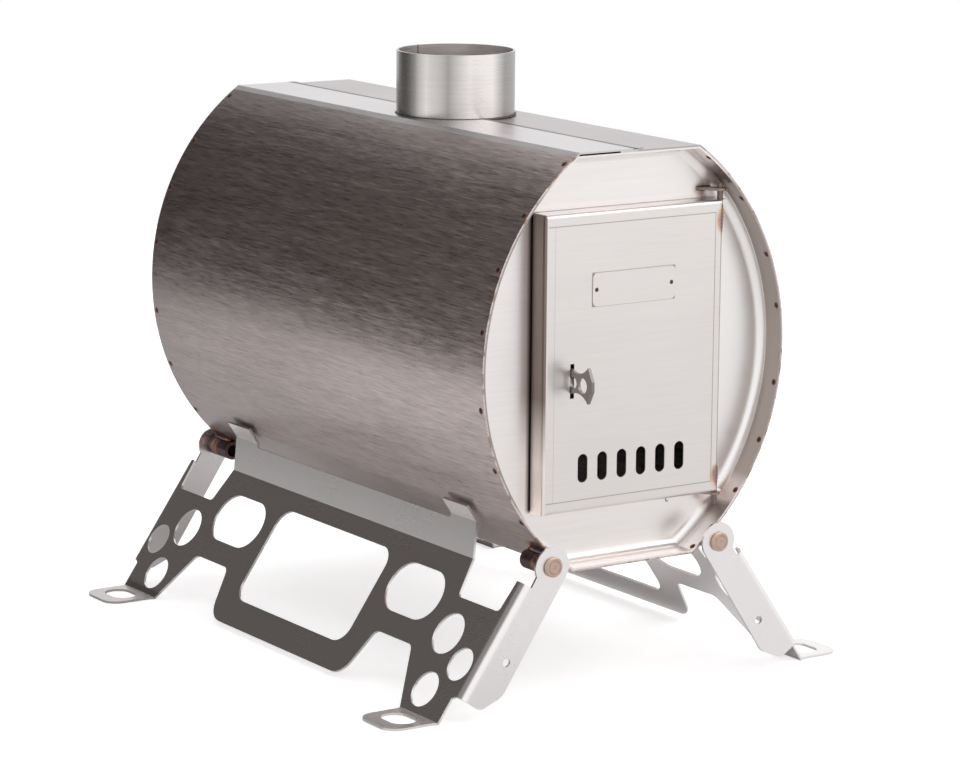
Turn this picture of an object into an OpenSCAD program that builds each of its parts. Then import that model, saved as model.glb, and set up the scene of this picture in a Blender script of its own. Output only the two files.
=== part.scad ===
// Tent wood stove: a lapped steel barrel with dished ends, a lift-off door with
// a gravity latch, a flue collar, and two sheet-metal legs that fold together
// under the barrel as a carrying handle.
// Millimetres. X to the right seen from the door, the door faces -Y, +Z up,
// z = 0 under the feet, origin in the middle of the plan.

/* [Barrel] */
// Width of the barrel across its round sides
body_w = 220; // [200:1:240]
// Height of the barrel from the flat bottom to the flat top
body_h = 250; // [230:1:260]
// Length of the barrel from rim to rim
body_l = 400; // [340:1:460]
// Radius of each round side, larger than half the height
side_r = 152; // [145:1:170]
// Thickness of the barrel, end and door sheet
sheet_t = 1; // [0.8:0.1:1.5]
// Width of the sheet's overlap under the top seam
lap_w = 14; // [8:1:20]
// Height of the barrel's axis above the ground
axis_h = 207; // [195:1:230]

/* [Ends] */
// Depth from the barrel's rim to the dished end plate
recess = 18; // [15:0.5:24]
// Inside bend radius of the end plates
end_bend_r = 6; // [2:0.5:7]
// How far the door covers the opening on every side
opening_lap = 10; // [9:0.5:14]
// Corner radius of the opening
opening_r = 6; // [3:1:15]

/* [Flue] */
// Outside diameter of the flue collar
flue_d = 75; // [60:1:80]
// Height of the collar above the top
flue_h = 40; // [25:1:60]
// Wall of the collar
flue_wall = 1.2; // [0.8:0.1:2]
// Distance from the front rim to the collar's axis
flue_y = 199; // [150:1:230]
// How far the collar stands into the barrel
flue_dip = 5; // [2:0.5:10]

/* [Door] */
// Distance from the barrel's side to the door, on the mean of both sides
door_side = 45; // [43:1:56]
// Height of the door
door_h = 180; // [160:1:182]
// Distance of the door's face behind the front rim
door_set = 4; // [3.5:0.5:6]
// Outside bend radius along the door's edges
door_bend_r = 2.5; // [2:0.5:6]
// Gap between the door's edge and the end plate
door_gap = 1; // [0.3:0.1:1.2]
// Number of air slots
slots = 6; // [3:1:7]
// Width of an air slot
slot_w = 7; // [5:0.5:8]
// Length of an air slot, round ends included
slot_h = 17.3; // [12:0.1:24]
// Distance from one air slot to the next
slot_pitch = 14.2; // [12:0.1:15]
// Distance from the door's bottom edge to the slots' middle
slot_up = 26.4; // [20:0.1:30]
// Width of the bare plate on the door
badge_w = 60; // [40:1:70]
// Height of the bare plate on the door
badge_h = 20; // [15:1:25]
// Height of the bare plate's middle above the door's middle
badge_up = 43.3; // [35:0.1:50]

/* [Hinge] */
// Diameter of the hinge pins
pin_d = 3.5; // [3:0.5:4]
// Distance of the hinge axis behind the front rim
hinge_y = 8.6; // [8:0.1:9.5]
// Thickness of the fixed hinge tabs
tab_t = 1.5; // [1:0.1:2]
// Free height above the door's upper ear, for lifting the door off
lift_gap = 5.2; // [4:0.1:6]
// Running clearance on the radius of every pivot
run_gap = 0.05; // [0.03:0.01:0.1]

/* [Latch] */
// Thickness of the latch plate
latch_t = 2; // [1.5:0.1:2.2]
// Distance of the latch from the door's left edge
latch_in = 20.3; // [19:0.1:24]
// Distance of the latch's axis below the door's middle
latch_down = 10.2; // [0:0.1:20]
// How far the latch stands out in front of the rim
latch_reach = 17.5; // [14:0.1:18]

/* [Legs] */
// Thickness of the leg sheet
leg_t = 1.5; // [1.2:0.1:2]
// Slope of the leg plate below level
leg_deg = 55.3; // [52:0.1:58]
// Radius of the lug round the leg's pivot
lug_r = 12; // [10:0.5:13]
// Diameter of the leg's pivot pin
pivot_d = 8; // [6:0.5:9]
// Diameter of the bosses and of the pin heads
boss_d = 12; // [11:0.5:13]
// Height of the lip along the top of the leg
lip_h = 20; // [15:1:22]
// Length of a foot, measured outward
foot_l = 32.5; // [30:0.5:40]
// Diameter of the largest round hole in the leg
leg_hole_d = 27; // [20:0.5:28]

/* [Hidden] */
$fn = 96;
eps = 0.01;
// the top sheet lies one thickness higher left of the seam
step_h = sheet_t;
seam_x = -1.1;
ear_w = 2.7;
ear_l = 15;
// the collar's foot is slimmer, from just above the sheet down
flue_step = 1.2;
flue_seat = 0.5;
// centre of the right side's arc; the left one is its mirror image
arc_x = body_w / 2 - side_r;
// reach of the latch in front and of the pin heads behind
head_t = 2;
play = 0.3;
arm_gap = 2;
head_y = arm_gap + leg_t + play;
reach_back = head_y + head_t;
front = -(body_l + latch_reach + reach_back) / 2 + latch_reach;
back = front + body_l;
mid = (front + back) / 2;
top = axis_h + body_h / 2;
end_out_r = end_bend_r + sheet_t;
// door and hinge
// the door hangs a little nearer its hinge side
door_x = 0.9;
door_w = body_w - 2 * door_side;
opening_w = door_w - 2 * opening_lap;
opening_h = door_h - 2 * opening_lap;
face = front + door_set;
web = front + recess;
door_d = recess - door_set - door_gap;
// the pins are let into the door's right flange
hinge_x = door_x + door_w / 2 + 0.35;
hinge = [hinge_x, front + hinge_y];
edge_x = door_x + door_w / 2;
tab_r = pin_d / 2 + 2;
upper_tab_z = axis_h + door_h / 2 + lift_gap;
lower_tab_z = axis_h - door_h / 2 - 0.5 - tab_t;
upper_pin = [axis_h + door_h / 2 - 20, upper_tab_z + tab_t + 3];
lower_pin = [lower_tab_z - 6, axis_h - door_h / 2 + 15];
latch_x = door_x + latch_in - door_w / 2;
latch_z = axis_h - latch_down;
latch_y = front + 11;
latch_pin_d = 4;
latch_slot = [2.8, 20.8];
keeper_t = 1.5;
badge_t = 0.6;
rivet_x = badge_w / 2 - 2.7;
rivet_d = 1.6;
// leg pivots: the bosses seat a little into the line of the round sides
boss_seat = 0.3;
boss_l = 24;
pivot_deg = 49;
pivot_reach = side_r + boss_d / 2 - boss_seat;
pivot_x = arc_x + pivot_reach * cos(pivot_deg);
pivot_z = axis_h - pivot_reach * sin(pivot_deg);
// leg: across is outward from the pivot, down runs along the plate from the pivot
tilt = 90 - leg_deg;
mid_x = lug_r - leg_t / 2;
fold = 13.9;
foot_down = (pivot_z + mid_x * sin(tilt) - leg_t / 2) / cos(tilt);
// cut-outs are drawn for a plate this long from lip to foot, and scale with it
drawn_l = 98.7;
leg_k = (foot_down - fold) / drawn_l;
hole_k = min(1, leg_k);
leg_half = body_l / 2 + arm_gap + leg_t;
side_bend = 6;
lean = 5.7;
pad_deg = 36;
pad_rise = 23;
pad_gap = 1.8;
// a foot's plate reaches from its first to its second distance in from the leg's end
foot_span = [9.1, 50.2];

// ---- helpers ----

// a point of the leg's section, out from the pivot and down along the plate
function leg_pt(out, down) = [pivot_x, pivot_z]
    + out * [cos(tilt), sin(tilt)] + down * [sin(tilt), -cos(tilt)];
// distance down the plate from the pivot for a drawn distance below the lip
function down(s) = fold + s * leg_k;
// distance along the leg from its middle for a distance in from its end
function along(u) = leg_half - u;
function unit(v) = v / norm(v);
// arc points that round the corner b between a and c
function corner(a, b, c, r, n = 6) = r <= 0 ? [b] :
    let (u = unit(a - b), v = unit(c - b), h = acos(u * v) / 2,
        m = b + unit(u + v) * r / sin(h),
        p = b + u * r / tan(h) - m, q = b + v * r / tan(h) - m,
        a0 = atan2(p.y, p.x), a1 = atan2(q.y, q.x),
        d = a1 - a0 > 180 ? a1 - a0 - 360 : a1 - a0 < -180 ? a1 - a0 + 360 : a1 - a0)
    [for (i = [0:n]) m + r * [cos(a0 + d * i / n), sin(a0 + d * i / n)]];
// outline with every corner [x, y, r] rounded by its own radius
function rounded(c) = [for (i = [0:len(c) - 1])
    let (a = c[(i + len(c) - 1) % len(c)], b = c[i], d = c[(i + 1) % len(c)])
    each corner([a.x, a.y], [b.x, b.y], [d.x, d.y], b.z)];
function mirrored(c) = concat(c, [for (i = [len(c) - 1:-1:0]) [-c[i].x, c[i].y, c[i].z]]);

module obround(l, w) {
    square([l - w, w], center = true);
    for (s = [-1, 1]) translate([s * (l - w) / 2, 0]) circle(w / 2);
}
module round_rect(l, w, r) {
    square([l - 2 * r, w], center = true);
    square([l, w - 2 * r], center = true);
    for (x = [-1, 1], y = [-1, 1])
        translate([x * (l / 2 - r), y * (w / 2 - r)]) circle(r);
}
// plan shapes stand up: x stays, y becomes height, thickness runs back from y
module upright(y, t) translate([0, y + t, 0]) rotate([90, 0, 0]) linear_extrude(t) children();
// side shapes: x becomes depth, y becomes height, thickness runs right from x
module sideways(x, t) translate([x, 0, 0]) rotate([90, 0, 90]) linear_extrude(t) children();
module y_rod(x, y, z, r, l) translate([x, y, z]) rotate([-90, 0, 0]) cylinder(r = r, h = l);

// the barrel's section, inset all round, over a length
module barrel(inset, y, l, lap_x) {
    r = side_r - inset;
    intersection() {
        y_rod(arc_x, y, axis_h, r, l);
        y_rod(-arc_x, y, axis_h, r, l);
        union() {
            translate([-side_r, y, axis_h - body_h / 2 + inset])
                cube([2 * side_r, l, body_h - 2 * inset]);
            translate([-side_r, y, axis_h])
                cube([side_r + lap_x, l, body_h / 2 + step_h - inset]);
        }
    }
}

// a solid with the barrel's section whose inner end is rounded
module dish(inset, y, d, r) {
    rr = side_r - inset;
    hh = body_h / 2 - inset;
    translate([0, y, axis_h]) intersection() {
        for_side(1) round_disc(rr, d, r);
        for_side(-1) round_disc(rr, d, r);
        translate([-side_r, 0, 0]) rotate([90, 0, 90]) linear_extrude(2 * side_r) {
            translate([0, -hh]) square([d - r, 2 * hh]);
            translate([0, -hh + r]) square([d, 2 * (hh - r)]);
            for (s = [-1, 1]) translate([d - r, s * (hh - r)]) circle(r);
        }
    }
}
module for_side(s) translate([s * arc_x, 0, 0]) children();
module round_disc(rr, d, r) rotate([-90, 0, 0]) rotate_extrude() {
    square([rr, d - r]);
    square([rr - r, d]);
    translate([rr - r, d - r]) circle(r);
}

module end_plate() difference() {
    dish(sheet_t, 0, recess + sheet_t, end_out_r);
    dish(2 * sheet_t, -1, recess + 1, end_bend_r);
}

// ---- barrel ----

module shell() color([0.55, 0.54, 0.53]) {
    difference() {
        union() {
            barrel(0, front, body_l, seam_x);
            // the seam's upper edge keeps a small ear at both rims
            for (y = [front, back - ear_l])
                translate([seam_x - 1, y, top]) cube([ear_w + 1, ear_l, step_h]);
        }
        barrel(sheet_t, front - 1, body_l + 2, -lap_w);
        translate([0, front + flue_y, axis_h]) cylinder(d = flue_d - flue_step, h = body_h);
    }
}

module front_plate() color([0.78, 0.77, 0.75]) difference() {
    translate([0, front, 0]) end_plate();
    translate([0, 0, axis_h]) upright(web - 5, 10) round_rect(opening_w, opening_h, opening_r);
}

module back_plate() color([0.7, 0.69, 0.68])
    translate([0, back, 0]) mirror([0, 1, 0]) end_plate();

// the collar seats in the hole up to the shoulder of its slimmer foot
module flue_collar() color([0.72, 0.7, 0.67]) translate([0, front + flue_y, top + step_h])
    difference() {
        union() {
            translate([0, 0, flue_seat]) cylinder(d = flue_d, h = flue_h - flue_seat);
            translate([0, 0, -flue_dip]) cylinder(d = flue_d - flue_step, h = flue_dip + 1);
        }
        translate([0, 0, -flue_dip - 1]) cylinder(d = flue_d - 2 * flue_wall, h = flue_dip + flue_h + 2);
    }

// where a line from p touches the rounded end of a hinge tab, on its left (-1) or right (1)
function touch(p, s) = let (d = hinge - p, a = atan2(d.y, d.x) + s * asin(tab_r / norm(d)))
    p + sqrt(d * d - tab_r * tab_r) * [cos(a), sin(a)];
// fixed ear of the hinge: narrows from the flat of the end plate to the pin
module hinge_tab(z) {
    roots = [[hinge.x - 11.5, web], [hinge.x - 2.5, web]];
    color([0.72, 0.68, 0.63]) translate([0, 0, z]) linear_extrude(tab_t) difference() {
        union() {
            translate(hinge) circle(tab_r);
            polygon([roots[0], touch(roots[0], -1), hinge, touch(roots[1], 1), roots[1]]);
        }
        translate(hinge) circle(pin_d / 2 + run_gap);
    }
}
module hinge_tab_upper() hinge_tab(upper_tab_z);
module hinge_tab_lower() hinge_tab(lower_tab_z);

// strip behind the end plate's edge, under which the latch's nose hooks
module latch_keeper() color([0.6, 0.58, 0.56])
    translate([-opening_w / 2 - 7, web + sheet_t, latch_z + 2.2])
        cube([7 + opening_w / 2 + latch_x + 4, keeper_t, 14]);

// ---- leg pivots on the barrel ----

// mirrors its children to one corner: side is right (1) or left (-1), end is front (-1) or rear (1)
module at_corner(side, end) translate([0, mid, 0]) mirror([side < 0 ? 1 : 0, 0, 0])
    mirror([0, end > 0 ? 1 : 0, 0]) translate([0, -body_l / 2, 0]) children();

module pivot_boss(side, end) color([0.3, 0.27, 0.28]) at_corner(side, end) difference() {
    y_rod(pivot_x, -arm_gap + 0.4, pivot_z, boss_d / 2, boss_l);
    y_rod(pivot_x, -arm_gap, pivot_z, pivot_d / 2, boss_l + 1);
    y_rod(arc_x, -arm_gap, axis_h, side_r, boss_l + 2);
}
module pivot_boss_front_left() pivot_boss(-1, -1);
module pivot_boss_front_right() pivot_boss(1, -1);
module pivot_boss_rear_left() pivot_boss(-1, 1);
module pivot_boss_rear_right() pivot_boss(1, 1);

module pivot_pin(side, end) color([0.72, 0.62, 0.54]) at_corner(side, end)
    translate([pivot_x, -head_y - head_t, pivot_z]) rotate([-90, 0, 0]) rotate_extrude()
        polygon([[0, 0.5], [0.8, 0.5], [1.2, 0], [3.4, 0], [3.7, 0.4], [4.2, 0.4], [4.5, 0],
            [boss_d / 2 - 0.6, 0], [boss_d / 2, 0.6], [boss_d / 2, head_t],
            [pivot_d / 2, head_t], [pivot_d / 2, head_t + head_y + 9], [0, head_t + head_y + 9]]);
module pivot_pin_front_left() pivot_pin(-1, -1);
module pivot_pin_front_right() pivot_pin(1, -1);
module pivot_pin_rear_left() pivot_pin(-1, 1);
module pivot_pin_rear_right() pivot_pin(1, 1);

// ---- door ----

// a block whose front edges are rounded all round, w wide, h high, d deep
module pillow(w, h, d, r) intersection() {
    translate([0, 0, -h / 2]) linear_extrude(h) front_round(w, d, r);
    sideways(-w / 2, w) mirror([1, 0]) rotate(90) front_round(h, d, r);
}
module front_round(w, d, r) {
    translate([-w / 2, r]) square([w, d - r]);
    translate([-w / 2 + r, 0]) square([w - 2 * r, d]);
    for (s = [-1, 1]) translate([s * (w / 2 - r), r]) circle(r);
}

// the door's ears carry on its top and bottom flanges round the hinge axis
module door_ear(z) translate([0, 0, z]) linear_extrude(sheet_t) intersection() {
    translate(hinge) circle(recess - hinge_y - door_gap);
    union() {
        translate([edge_x - sheet_t - 1, face + door_bend_r]) square([hinge.x - edge_x + tab_r + 1, door_d]);
        translate([edge_x, hinge.y - tab_r + 0.4]) square([hinge.x - edge_x + tab_r - sheet_t, door_d]);
    }
}

module door_panel() color([0.8, 0.79, 0.77]) difference() {
    union() {
        translate([door_x, face, axis_h]) difference() {
            pillow(door_w, door_h, door_d, door_bend_r);
            translate([0, sheet_t, 0])
                pillow(door_w - 2 * sheet_t, door_h - 2 * sheet_t, door_d, door_bend_r - sheet_t);
        }
        door_ear(axis_h + door_h / 2 - sheet_t);
        door_ear(axis_h - door_h / 2);
    }
    translate([0, 0, axis_h - door_h / 2 + slot_up]) upright(face - 1, 3)
        for (i = [0:slots - 1]) translate([(i - (slots - 1) / 2) * slot_pitch, 0])
            rotate(90) obround(slot_h, slot_w);
    translate([latch_x - latch_slot.x / 2, face - 1, latch_z - latch_slot.y / 2])
        cube([latch_slot.x, 3, latch_slot.y]);
    for (s = [-1, 1]) y_rod(s * rivet_x, face - 1, axis_h + badge_up, rivet_d / 2, 3);
    // the pins' seats
    for (z = [upper_pin, lower_pin])
        translate([hinge.x, hinge.y, z[0]]) cylinder(d = pin_d, h = z[1] - z[0]);
}

module hinge_pin(z) color([0.45, 0.44, 0.5]) translate([hinge.x, hinge.y, z[0]])
    cylinder(d = pin_d, h = z[1] - z[0]);
module hinge_pin_upper() hinge_pin(upper_pin);
module hinge_pin_lower() hinge_pin(lower_pin);

// angle behind the door's face that holds the latch's pivot pin
module latch_bracket() color([0.6, 0.58, 0.56]) translate([latch_x + latch_t / 2 + play, 0, latch_z]) {
    difference() {
        sideways(0, 1.2) union() {
            translate([face + sheet_t, -4.5]) square([latch_y - face - sheet_t, 9]);
            translate([latch_y, 0]) circle(4.5);
        }
        translate([-1, latch_y, 0]) rotate([0, 90, 0]) cylinder(d = latch_pin_d, h = 4);
    }
    translate([0, face + sheet_t, -4.5]) cube([9, 1.2, 9]);
}
module latch_pivot_pin() color([0.65, 0.63, 0.6])
    translate([latch_x - latch_t / 2 - play, latch_y, latch_z]) rotate([0, 90, 0]) {
        translate([0, 0, -1.5]) cylinder(d = 7, h = 1.5);
        cylinder(d = latch_pin_d, h = latch_t + 2 * play + 1.2);
    }

module badge_plate() color([0.82, 0.8, 0.77]) translate([0, 0, axis_h + badge_up])
    upright(face - badge_t, badge_t) difference() {
        round_rect(badge_w, badge_h, 3);
        for (s = [-1, 1]) translate([s * rivet_x, 0]) circle(rivet_d / 2);
    }
module badge_rivet(s) color([0.5, 0.45, 0.42])
    translate([s * rivet_x, face - badge_t, axis_h + badge_up]) rotate([-90, 0, 0]) {
        cylinder(d = rivet_d, h = badge_t + sheet_t + 0.6);
        translate([0, 0, -0.4]) cylinder(d1 = 1.6, d2 = 2.6, h = 0.4);
    }
module badge_rivet_left() badge_rivet(-1);
module badge_rivet_right() badge_rivet(1);

// ---- latch ----

// fish-tailed finger plate in front, pivot behind the door's face, hooked nose inside
module latch_plate() {
    tip = [latch_reach - 4.2, 10.9];
    neck = [-4.8, 8];
    // the concave edge of the tail passes 3.4 inside the line from neck to tip
    chord = tip - neck;
    sag = 3.4;
    hollow_r = (chord * chord / 4 + sag * sag) / (2 * sag);
    hollow = (tip + neck) / 2 + (hollow_r - sag) * unit([-chord.y, chord.x]);
    color([0.5, 0.49, 0.48]) translate([latch_x, front, latch_z]) mirror([0, 1, 0]) difference() {
        union() {
            sideways(-latch_t / 2, latch_t)
                polygon([[-11, 4.5], [-7.5, 7], neck, tip, [latch_reach, 3], [latch_reach, -3],
                    [tip.x, -tip.y], [neck.x, -neck.y], [-7.5, -7], [-11, -4.5]]);
            x_disc(-11, 0, 4.5);
            // arm to the hooked nose
            sideways(-latch_t / 2, latch_t)
                polygon([[-9, 1.8], [-21, 1.8], [-21, 4.8], [-24.5, 3.6], [-24.5, -1.8], [-23, -3.2], [-9, -3.2]]);
        }
        for (s = [-1, 1]) x_disc(hollow.x, s * hollow.y, hollow_r);
        x_disc(-1.6, -0.4, 3.5);
        x_disc(7.8, -0.6, 4.65);
        x_disc(-11, 0, latch_pin_d / 2 + run_gap);
    }
}
// disc of the latch's thickness, out in front of the rim and up from the latch's axis
module x_disc(out, up, r) translate([-latch_t / 2 - (r > 4.5 ? 1 : 0), out, up])
    rotate([0, 90, 0]) cylinder(r = r, h = latch_t + (r > 4.5 ? 2 : 0));

// ---- legs ----

// outline of the leg plate, [distance from the middle, distance below the lip, corner radius]
module leg_outline() {
    lip_s = -past(tilt - lean) / leg_k;
    foot_s = drawn_l + past(leg_deg) / leg_k;
    half = [[along(58.5), lip_s, 0], [along(53), 24.5, 3], [along(9.5), 24.5, 3], [along(8), 3.5, 0],
        [along(side_bend), 3.5, 0], [along(side_bend), 80.1, 0], [along(foot_span.x), 81.8, 0],
        [along(foot_span.x), foot_s, 0], [along(foot_span.y), foot_s, 0], [along(71), 61.8, 6],
        [along(112), 61.8, 6], [along(122.4), 95.5, 15]];
    polygon([for (p = rounded(mirrored(half))) [p.x, -down(p.y)]]);
}
// lip above the fold with its two pads, [distance from the middle, height above the fold, corner radius]
module leg_lip(pad_turn) {
    pad_top = pad_rise + past(pad_turn);
    half = [[along(58.6), -past(tilt - lean), 0], [along(58.6), pad_top, 0],
        [along(86.5), pad_top, 0], [along(86.5), lip_h, 1.5]];
    polygon(rounded(mirrored(half)));
}
// foot tab, narrowing a little from its fold, with a slot for a peg
module foot(l, w) linear_extrude(leg_t) difference() {
    polygon(rounded([[0, -w / 2, 0], [3, -w / 2 + 1.5, 0], [l, -w / 2 + 1.5, 10.5],
        [l, w / 2 - 1.5, 10.5], [3, w / 2 - 1.5, 0], [0, w / 2, 0]]));
    translate([l - foot_l + 14.5, 0]) rotate(90) obround(25, 17);
}
module leg_cuts() {
    // carrying handle
    translate([0, -down(45)]) round_rect(2 * along(136.5), 65.6 * leg_k, 12 * hole_k);
    for (s = [-1, 1]) {
        translate([s * along(95.8), -down(31)]) obround(57, 33 * leg_k);
        translate([s * along(43.5), -down(47.3)]) circle(leg_hole_d / 2 * hole_k);
        translate([s * along(18), -down(61.5)]) circle(10.75 * hole_k);
        translate([s * along(37), -down(83)]) circle(11.5 * hole_k);
    }
}

// stands a plan of [distance along Y, height] on a point of the leg's section, leaning inward
module leaf(p, lean_in) translate([p.x, 0, p.y]) rotate([0, -lean_in, 0])
    sideways(-leg_t / 2, leg_t) children();
// how far two sheets that meet at a bend run past each other to close its outside, less a hair
function past(turn) = leg_t / 2 * tan(turn / 2) - 0.04;

// side arm at one end: lug, straight edges, cut-off corner at the foot
module leg_arm() {
    low = down(80.1);
    neck = [0.52 * lug_r, -0.85 * lug_r, 0];
    difference() {
        union() {
            circle(lug_r);
            // the edge leaves the lug in a small notch above the side bend
            polygon(rounded([[-lug_r, 0, 0], [0, 0, 0], neck, [lug_r - side_bend, -down(1.6), 0],
                [lug_r - side_bend, -low, 0], [-4.5, -low, 6], [-lug_r - 1.5, -low + 14, 13]]));
        }
        circle(pivot_d / 2 + run_gap);
        translate([-4.2, -down(48.1)]) circle(2.5);
    }
}

module leg() {
    lip0 = leg_pt(mid_x, fold);
    lip_dir = [-sin(lean), cos(lean)];
    pad0 = lip0 + pad_rise * lip_dir;
    pad1 = [arc_x, axis_h] + (side_r + pad_gap + leg_t / 2) * [cos(pad_deg), -sin(pad_deg)];
    foot0 = leg_pt(mid_x, foot_down);
    pad_slope = atan2(pad1.y - pad0.y, pad1.x - pad0.x);
    pad_turn = 90 - pad_slope + lean;
    // plate, side bends and arms
    translate([pivot_x, mid, pivot_z]) rotate([0, -tilt, 0]) {
        sideways(lug_r - leg_t, leg_t) difference() {
            leg_outline();
            leg_cuts();
        }
        for (s = [-1, 1]) {
            translate([lug_r - side_bend, s * along(side_bend), -down(80.1)]) intersection() {
                difference() {
                    cylinder(r = side_bend, h = down(80.1) - down(3.5));
                    translate([0, 0, -1]) cylinder(r = side_bend - leg_t, h = foot_down);
                }
                translate([0, s > 0 ? 0 : -2 * side_bend, -1]) cube([2 * side_bend, 2 * side_bend, foot_down]);
            }
            translate([0, s > 0 ? leg_half : -leg_half + leg_t, 0]) rotate([90, 0, 0])
                linear_extrude(leg_t) leg_arm();
        }
    }
    // lip along the top, and a pad near each end that stops the leg against the barrel
    translate([0, mid, 0]) {
        leaf(lip0, lean) leg_lip(pad_turn);
        for (s = [-1, 1]) {
            leaf(pad0, pad_slope - 90) translate([s * along(72.55) - 13.75, -past(pad_turn)])
                square([27.5, norm(pad1 - pad0) + past(pad_turn)]);
            translate([foot0.x - past(leg_deg), s * along((foot_span.x + foot_span.y) / 2), 0])
                foot(foot_l + past(leg_deg), foot_span.y - foot_span.x);
        }
    }
}
module leg_right() color([0.42, 0.42, 0.43]) leg();
module leg_left() color([0.42, 0.42, 0.43]) mirror([1, 0, 0]) leg();

shell();
front_plate();
back_plate();
flue_collar();
hinge_tab_upper();
hinge_tab_lower();
latch_keeper();
pivot_boss_front_left();
pivot_boss_front_right();
pivot_boss_rear_left();
pivot_boss_rear_right();
pivot_pin_front_left();
pivot_pin_front_right();
pivot_pin_rear_left();
pivot_pin_rear_right();
door_panel();
hinge_pin_upper();
hinge_pin_lower();
latch_bracket();
latch_pivot_pin();
badge_plate();
badge_rivet_left();
badge_rivet_right();
latch_plate();
leg_left();
leg_right();
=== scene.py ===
import math

import bmesh
import bpy
from bpy.props import FloatProperty, FloatVectorProperty, PointerProperty
from mathutils import Matrix, Vector


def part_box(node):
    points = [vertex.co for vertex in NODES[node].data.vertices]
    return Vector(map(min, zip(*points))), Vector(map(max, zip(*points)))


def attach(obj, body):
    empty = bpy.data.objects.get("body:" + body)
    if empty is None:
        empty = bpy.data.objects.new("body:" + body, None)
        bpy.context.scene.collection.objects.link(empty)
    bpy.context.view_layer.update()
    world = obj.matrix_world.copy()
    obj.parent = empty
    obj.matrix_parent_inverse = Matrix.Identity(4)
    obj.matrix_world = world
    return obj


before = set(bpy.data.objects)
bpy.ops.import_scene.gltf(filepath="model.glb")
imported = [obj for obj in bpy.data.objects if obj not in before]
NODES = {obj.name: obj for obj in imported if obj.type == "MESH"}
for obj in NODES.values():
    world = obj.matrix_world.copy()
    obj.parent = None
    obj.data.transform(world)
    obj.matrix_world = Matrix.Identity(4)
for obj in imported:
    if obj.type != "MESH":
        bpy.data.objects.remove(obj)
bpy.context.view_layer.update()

bl_info = {
    "name": "Tent Wood Stove",
    "version": (1, 0, 0),
    "blender": (4, 5, 0),
    "location": "View3D > Sidebar > Stove",
    "description": "Steel finishes, welds and a plain studio for a tent wood stove",
    "category": "Object",
}

# ---- places on the stove, in metres ----

SHELL_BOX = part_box("shell")
COLLAR_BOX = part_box("flue_collar")
DOOR_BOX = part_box("door_panel")
BADGE_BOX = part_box("badge_plate")

FRONT_Y = SHELL_BOX[0][1]             # front rim of the barrel
BACK_Y = SHELL_BOX[1][1]              # rear rim
TOP_Z = SHELL_BOX[1][2]               # upper face of the lapped top
AXIS_Z = SHELL_BOX[0][2] + 0.125      # the barrel's axis, half its height up
WEB_Y = FRONT_Y + 0.018               # flat web of the dished front plate
FACE_Y = DOOR_BOX[0][1]               # outer face of the door
SIDE_R = 0.152                        # radius of the barrel's rounded sides
ARC_X = 0.110 - SIDE_R                # centre of a side's arc, inward from half the width
RIM_WALL = 0.002                      # barrel sheet and end plate's flange together
COLLAR_D = COLLAR_BOX[1][0] - COLLAR_BOX[0][0]
COLLAR = Vector(((COLLAR_BOX[0][0] + COLLAR_BOX[1][0]) / 2,
                 (COLLAR_BOX[0][1] + COLLAR_BOX[1][1]) / 2, 0))

# how often the brushing varies along x, y and z; it runs along the lowest of the three
ALONG_BARREL = (1150, 60, 1150)
ROUND_COLLAR = (30, 30, 900)
ACROSS_FRONT = (22, 700, 700)
ACROSS_PLATE = (30, 900, 900)
ALONG_LEG = (500, 14, 500)
ALONG_ROD = (300, 300, 60)
ROUND_BOSS = (160, 300, 160)

SIDES = {-1: "left", 1: "right"}
INWARD = {"front": 1, "rear": -1}     # the way into the barrel along y


def boss_centres():
    """The centre of each pivot boss, by end and side."""
    centres = {}
    for end in INWARD:
        for side, name in SIDES.items():
            low, high = (Vector(corner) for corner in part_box(f"pivot_boss_{end}_{name}"))
            centres[end, side] = (low + high) / 2
    return centres


BOSS = boss_centres()


# ---- sizes and colours a user would change ----

class StoveSteel(bpy.types.PropertyGroup):
    """Colours of the steel sheet."""
    sheet: FloatVectorProperty(
        name="End sheet", description="Colour of the end plates and the flue collar",
        subtype="COLOR", size=3, min=0, max=1, default=(0.93, 0.885, 0.865))
    door: FloatVectorProperty(
        name="Door sheet", description="Colour of the door and its plate",
        subtype="COLOR", size=3, min=0, max=1, default=(0.83, 0.785, 0.765))
    barrel: FloatVectorProperty(
        name="Barrel sheet", description="Colour of the wrapped barrel sheet",
        subtype="COLOR", size=3, min=0, max=1, default=(0.69, 0.60, 0.58))
    leg: FloatVectorProperty(
        name="Leg sheet", description="Colour of the thicker leg sheet",
        subtype="COLOR", size=3, min=0, max=1, default=(0.95, 0.92, 0.915))
    dark: FloatVectorProperty(
        name="Scorched steel", description="Colour of the rivets and of weld spatter",
        subtype="COLOR", size=3, min=0, max=1, default=(0.10, 0.075, 0.07))
    grain: FloatProperty(
        name="Grain", description="How strongly the brushing shows",
        subtype="FACTOR", min=0, max=1, default=0.5)


class StoveWelds(bpy.types.PropertyGroup):
    """Sizes of the welds."""
    spot_radius: FloatProperty(
        name="Spot radius", description="Radius of a spot weld's mark",
        subtype="DISTANCE", unit="LENGTH", min=0.0005, max=0.004, default=0.0021)
    spot_inset: FloatProperty(
        name="Spot inset", description="Distance of the spot welds from the rim",
        subtype="DISTANCE", unit="LENGTH", min=0.001, max=0.01, default=0.0036)
    bead_radius: FloatProperty(
        name="Bead radius", description="Thickness of the bead round the flue collar",
        subtype="DISTANCE", unit="LENGTH", min=0.0005, max=0.003, default=0.0006)


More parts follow.
